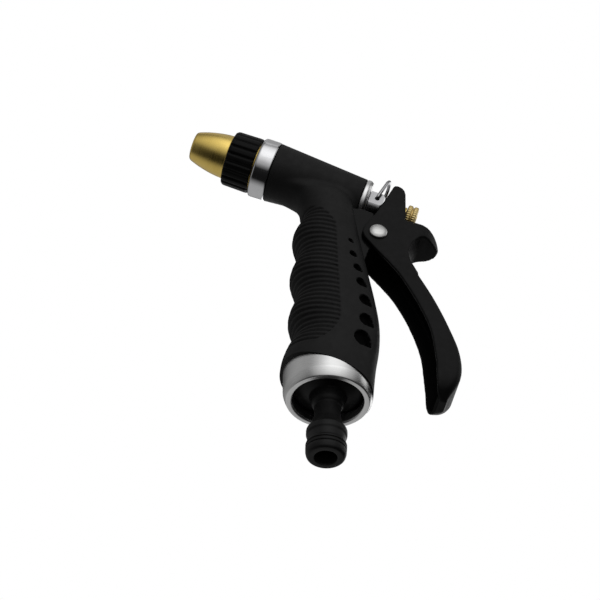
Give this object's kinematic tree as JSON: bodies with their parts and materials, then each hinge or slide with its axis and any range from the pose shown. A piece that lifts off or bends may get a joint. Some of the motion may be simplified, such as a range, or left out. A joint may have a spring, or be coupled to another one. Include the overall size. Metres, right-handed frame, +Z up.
{
  "type": "hose spray nozzle",
  "caption": "Pistol-grip garden hose nozzle with a rear squeeze trigger, twist brass tip, wire hold-open bail and a click-fit hose plug.",
  "frame": {"origin": "centre of the hose plug's end face, where the water enters", "axes": "+Z up the handle from the plug, -X towards the spray tip, +X towards the trigger, +Y to the far side; symmetric about the XZ plane"},
  "size_m": [0.1249, 0.0384, 0.1787],
  "materials": {
    "black_rubber": "matte soft-touch moulded rubber",
    "black_casting": "gloss black coating on die-cast zinc",
    "black_trigger": "matte black powder coating on die-cast zinc",
    "black_plastic": "satin moulded plastic",
    "seal_rubber": "smooth seal rubber",
    "satin_ring": "satin plated ring",
    "chrome": "bright chrome plate",
    "rivet_steel": "zinc-plated steel",
    "spring_steel": "bright drawn wire",
    "brass": "satin turned brass"
  },
  "bodies": {
    "nozzle_body": {"body_casting": "black_casting", "rubber_grip_cover": "black_rubber", "base_ring": "satin_ring", "hose_plug": "black_plastic", "plug_o_ring": "seal_rubber", "plug_seal_washer": "seal_rubber", "front_ring": "chrome", "outlet_spout": "brass", "spout_gasket": "seal_rubber", "cap_ring": "chrome", "gland_nut": "chrome", "packing_washer": "brass", "stem_packing": "seal_rubber", "pivot_rivet": "rivet_steel", "return_spring": "spring_steel"},
    "trigger": {"trigger": "black_trigger"},
    "valve_stem": {"valve_stem": "brass", "valve_washer": "seal_rubber", "valve_head": "brass"},
    "nut_washer": {"nut_washer": "brass"},
    "adjusting_nut": {"adjusting_nut": "brass"},
    "hold_bail": {"hold_bail": "chrome"},
    "tip_seal": {"tip_o_ring": "seal_rubber"},
    "spray_tip": {"brass_tip": "brass", "grip_collar": "black_plastic"}
  },
  "joints": [
    {"name": "trigger_pivot", "type": "hinge", "parent": "nozzle_body", "child": "trigger", "pos_m": [0.0185, 0, 0.1223], "axis": [0, 1, 0], "range_deg": [0, 16], "stiffness_Nm_per_rad": 2, "springref_deg": -11.46},
    {"name": "stem_slide", "type": "slide", "parent": "nozzle_body", "child": "valve_stem", "axis": [0.9659, 0, -0.2588], "range_m": [0, 0.0058], "deforming": ["return_spring"]},
    {"name": "nut_travel", "type": "slide", "parent": "valve_stem", "child": "nut_washer", "axis": [0.9659, 0, -0.2588], "range_m": [0, 0.0014]},
    {"name": "nut_twist", "type": "hinge", "parent": "nut_washer", "child": "adjusting_nut", "pos_m": [0.03537, 0, 0.14339], "axis": [0.9659, 0, -0.2588], "range_deg": [0, 720]},
    {"name": "bail_hinge", "type": "hinge", "parent": "nozzle_body", "child": "hold_bail", "pos_m": [0.01861, 0, 0.14788], "axis": [0, 1, 0], "range_deg": [-17, 18]},
    {"name": "tip_travel", "type": "slide", "parent": "nozzle_body", "child": "tip_seal", "axis": [-0.9659, 0, 0.2588], "range_m": [0, 0.00225]},
    {"name": "tip_twist", "type": "hinge", "parent": "tip_seal", "child": "spray_tip", "pos_m": [-0.0378, 0, 0.163], "axis": [-0.9659, 0, 0.2588], "range_deg": [0, 540]}
  ],
  "couplings": [
    {"joint": "stem_slide", "follows": "trigger_pivot", "m_per_rad": 0.0202},
    {"joint": "nut_twist", "follows": "nut_travel", "rad_per_m": 8975.9},
    {"joint": "tip_twist", "follows": "tip_travel", "rad_per_m": 4188.7}
  ]
}
